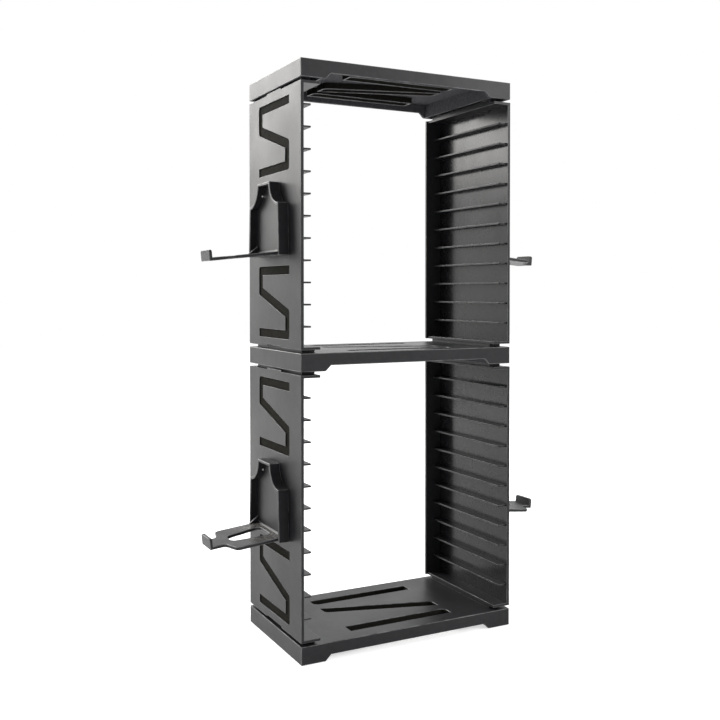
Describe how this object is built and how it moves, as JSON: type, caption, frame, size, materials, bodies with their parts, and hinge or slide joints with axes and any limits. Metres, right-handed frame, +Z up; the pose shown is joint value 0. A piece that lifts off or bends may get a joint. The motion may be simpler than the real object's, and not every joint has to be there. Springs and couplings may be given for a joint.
{
  "type": "game disc storage stand",
  "caption": "Upright two-tier storage stand with ribbed side panels that hold game cases flat between shelves, and lift-off controller hangers on the outer sides.",
  "frame": {"origin": "middle of the base's underside, on the surface that the stand rests on", "axes": "+X to the right, +Y to the back, +Z up, seen from the open front"},
  "size_m": [0.2956, 0.104, 0.4405],
  "materials": {
    "black_plastic": "satin moulded black plastic"
  },
  "bodies": {
    "stand": {"base_shelf": "black_plastic", "middle_shelf": "black_plastic", "top_shelf": "black_plastic", "lower_left_panel": "black_plastic", "lower_right_panel": "black_plastic", "upper_left_panel": "black_plastic", "upper_right_panel": "black_plastic"},
    "lower_left_hanger": {"lower_left_hanger_housing": "black_plastic", "lower_left_hanger_arm": "black_plastic"},
    "lower_right_hanger": {"lower_right_hanger_housing": "black_plastic", "lower_right_hanger_arm": "black_plastic"},
    "upper_left_hanger": {"upper_left_hanger_housing": "black_plastic", "upper_left_hanger_arm": "black_plastic"},
    "upper_right_hanger": {"upper_right_hanger_housing": "black_plastic", "upper_right_hanger_arm": "black_plastic"}
  },
  "joints": [
    {"name": "lower_left_hanger_lift", "type": "slide", "parent": "stand", "child": "lower_left_hanger", "axis": [0, 0, 1], "range_m": [0, 0.012]},
    {"name": "lower_right_hanger_lift", "type": "slide", "parent": "stand", "child": "lower_right_hanger", "axis": [0, 0, 1], "range_m": [0, 0.012]},
    {"name": "upper_left_hanger_lift", "type": "slide", "parent": "stand", "child": "upper_left_hanger", "axis": [0, 0, 1], "range_m": [0, 0.012]},
    {"name": "upper_right_hanger_lift", "type": "slide", "parent": "stand", "child": "upper_right_hanger", "axis": [0, 0, 1], "range_m": [0, 0.012]}
  ]
}
